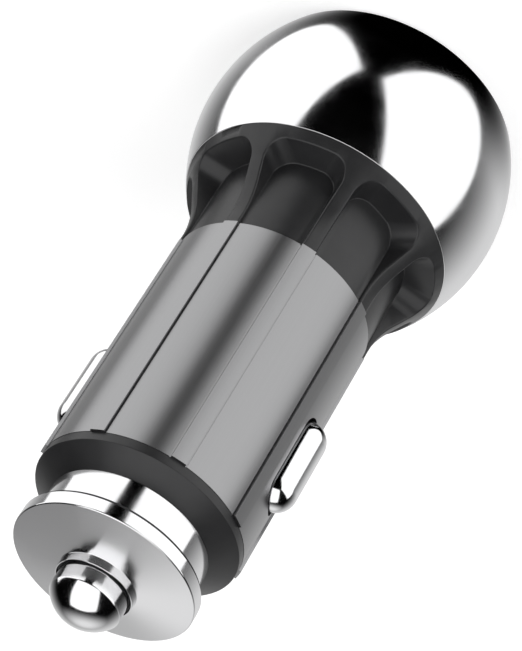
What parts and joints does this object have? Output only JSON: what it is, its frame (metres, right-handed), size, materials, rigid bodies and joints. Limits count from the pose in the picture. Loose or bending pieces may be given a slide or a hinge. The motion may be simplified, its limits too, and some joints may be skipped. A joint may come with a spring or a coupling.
{
  "type": "car usb charger plug",
  "caption": "Round-headed car charger plug: a bright dome with USB sockets in its flat face, a ribbed collar, a metal barrel with side contacts and a sprung contact tip.",
  "frame": {"origin": "centre of the flat socket face, on which the plug stands", "axes": "+Z along the plug from the socket face to the contact tip, +X through one side contact"},
  "size_m": [0.0314, 0.0314, 0.068],
  "materials": {
    "bright_plate": "polished bright plating",
    "sleeve_metal": "satin gunmetal anodised",
    "body_plastic": "black, fine satin",
    "socket_steel": "plated sheet",
    "tongue_plastic": "moulded",
    "contact_brass": "plated",
    "spring_steel": "drawn wire",
    "board": "green solder mask",
    "ferrite": "moulded ferrite",
    "can_metal": "bare can",
    "chip_resin": "moulded resin",
    "lead_cover": "insulated wire"
  },
  "bodies": {
    "housing": {"dome_shell": "bright_plate", "nose_cap": "bright_plate", "barrel_sleeve": "sleeve_metal", "barrel_body": "body_plastic", "end_ring": "body_plastic", "port_panel": "body_plastic", "tip_bush": "body_plastic", "contact_carrier": "body_plastic", "usb_shell_a": "socket_steel", "usb_shell_b": "socket_steel", "usb_tongue_a": "tongue_plastic", "usb_tongue_b": "tongue_plastic", "usb_pins_a": "contact_brass", "usb_pins_b": "contact_brass", "header_pins": "contact_brass", "ground_bridge": "contact_brass", "tip_terminal": "contact_brass", "tip_spring": "spring_steel", "ground_spring_right": "spring_steel", "ground_spring_left": "spring_steel", "socket_board": "board", "main_board": "board", "inductor": "ferrite", "capacitor_in": "can_metal", "capacitor_out": "can_metal", "control_chip": "chip_resin", "tip_lead": "lead_cover"},
    "tip": {"contact_tip": "bright_plate"},
    "contact_right": {"ground_contact_right": "bright_plate"},
    "contact_left": {"ground_contact_left": "bright_plate"}
  },
  "joints": [
    {"name": "tip_press", "type": "slide", "parent": "housing", "child": "tip", "axis": [0, 0, -1], "range_m": [0, 0.002], "stiffness_N_per_m": 1500, "springref_m": -0.002, "deforming": ["tip_spring"]},
    {"name": "right_contact_press", "type": "slide", "parent": "housing", "child": "contact_right", "axis": [-1, 0, 0], "range_m": [0, 0.0015], "stiffness_N_per_m": 800, "springref_m": -0.0012, "deforming": ["ground_spring_right"]},
    {"name": "left_contact_press", "type": "slide", "parent": "housing", "child": "contact_left", "axis": [1, 0, 0], "range_m": [0, 0.0015], "stiffness_N_per_m": 800, "springref_m": -0.0012, "deforming": ["ground_spring_left"]}
  ]
}
